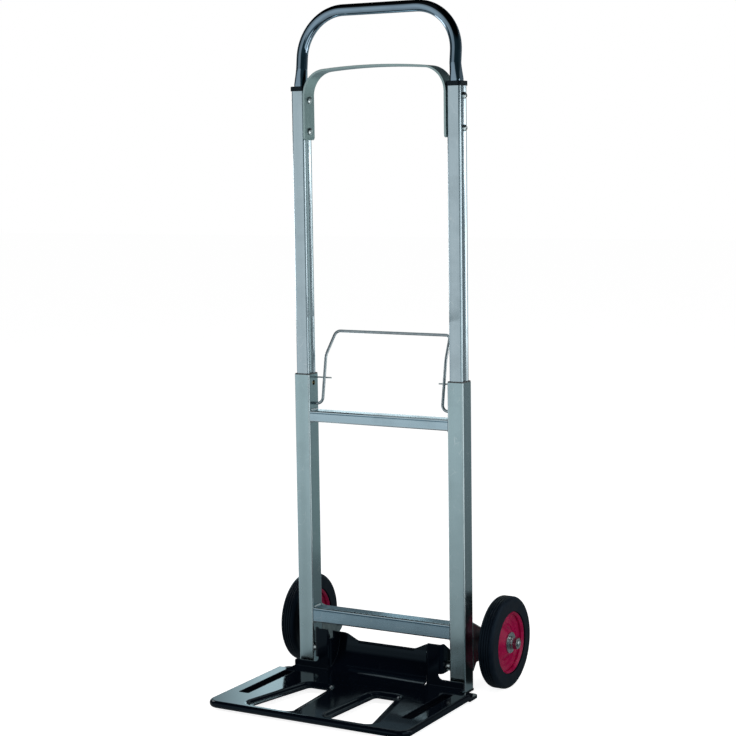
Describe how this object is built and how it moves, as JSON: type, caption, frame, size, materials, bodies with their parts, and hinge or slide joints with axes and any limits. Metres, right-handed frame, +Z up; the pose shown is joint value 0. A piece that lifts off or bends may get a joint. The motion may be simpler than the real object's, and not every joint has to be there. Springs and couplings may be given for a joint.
{
  "type": "folding sack truck",
  "caption": "Folding sack truck: welded aluminium tubes, telescoping handle with looped grip and strap, hinged pressed toe plate, wire bail and rubber-tyred wheels.",
  "frame": {"origin": "on the floor, under the middle of the truck's bounding box", "axes": "+Z up along the tubes, +Y from the toe plate back to the wheels, +X to the right as seen from the toe plate's side"},
  "size_m": [0.4256, 0.403, 1.104],
  "materials": {
    "frame_aluminium": "satin silver, slightly blue",
    "inner_aluminium": "satin anodised silver",
    "black_plastic": "matt black moulding",
    "grey_plastic": "dark grey moulding",
    "bracket_steel": "satin grey paint",
    "zinc_steel": "bright zinc plate",
    "handle_chrome": "dark bright plating",
    "strap_steel": "satin silver-grey paint",
    "wire_steel": "bright wire",
    "toe_black": "gloss black paint",
    "tyre_rubber": "matt black rubber",
    "rim_red": "semi-gloss crimson paint",
    "lock_brass": "bright brass"
  },
  "bodies": {
    "frame": {"outer_tube_left": "frame_aluminium", "outer_tube_right": "frame_aluminium", "guide_bush_left": "black_plastic", "guide_bush_right": "black_plastic", "foot_plug_left": "grey_plastic", "foot_plug_right": "grey_plastic", "wheel_bracket_left": "bracket_steel", "wheel_bracket_right": "bracket_steel", "axle_bolt_left": "zinc_steel", "axle_bolt_right": "zinc_steel", "upper_crossbar": "frame_aluminium", "lower_crossbar": "frame_aluminium", "axle_nuts": "zinc_steel", "axle_washers": "zinc_steel", "axle_spacers": "zinc_steel", "bail_stop_pins": "wire_steel", "toe_pivot_rivets": "zinc_steel", "toe_pivot_spacers": "zinc_steel"},
    "handle": {"inner_tube_left": "inner_aluminium", "inner_tube_right": "inner_aluminium", "end_collar_left": "black_plastic", "end_collar_right": "black_plastic", "slider_plug_left": "black_plastic", "slider_plug_right": "black_plastic", "lock_spring_left": "wire_steel", "lock_spring_right": "wire_steel", "handle_loop": "handle_chrome", "handle_strap": "strap_steel", "strap_bolts": "zinc_steel", "strap_nuts": "zinc_steel"},
    "toe_plate": {"toe_plate": "toe_black"},
    "bail": {"bail": "wire_steel"},
    "wheel_left": {"tyre_left": "tyre_rubber", "rim_outer_left": "rim_red", "rim_inner_left": "rim_red", "hub_left": "zinc_steel", "wheel_bush_left": "grey_plastic"},
    "wheel_right": {"tyre_right": "tyre_rubber", "rim_outer_right": "rim_red", "rim_inner_right": "rim_red", "hub_right": "zinc_steel", "wheel_bush_right": "grey_plastic"},
    "lock_button_left": {"lock_button_left": "lock_brass"},
    "lock_button_right": {"lock_button_right": "lock_brass"}
  },
  "joints": [
    {"name": "handle_slide", "type": "slide", "parent": "frame", "child": "handle", "axis": [0, 0, -1], "range_m": [0, 0.38]},
    {"name": "toe_plate_fold", "type": "hinge", "parent": "frame", "child": "toe_plate", "pos_m": [0, 0.0515, 0.0465], "axis": [-1, 0, 0], "range_deg": [0, 90]},
    {"name": "bail_swing", "type": "hinge", "parent": "frame", "child": "bail", "pos_m": [0, 0.0585, 0.458], "axis": [1, 0, 0], "range_deg": [0, 120]},
    {"name": "left_wheel_spin", "type": "hinge", "parent": "frame", "child": "wheel_left", "pos_m": [-0.1855, 0.1265, 0.075], "axis": [1, 0, 0], "continuous": true},
    {"name": "right_wheel_spin", "type": "hinge", "parent": "frame", "child": "wheel_right", "pos_m": [0.1855, 0.1265, 0.075], "axis": [1, 0, 0], "continuous": true},
    {"name": "left_lock_button_press", "type": "slide", "parent": "handle", "child": "lock_button_left", "axis": [-1, 0, 0], "range_m": [0, 0.003], "stiffness_N_per_m": 1500, "deforming": ["lock_spring_left"]},
    {"name": "right_lock_button_press", "type": "slide", "parent": "handle", "child": "lock_button_right", "axis": [1, 0, 0], "range_m": [0, 0.003], "stiffness_N_per_m": 1500, "deforming": ["lock_spring_right"]}
  ]
}
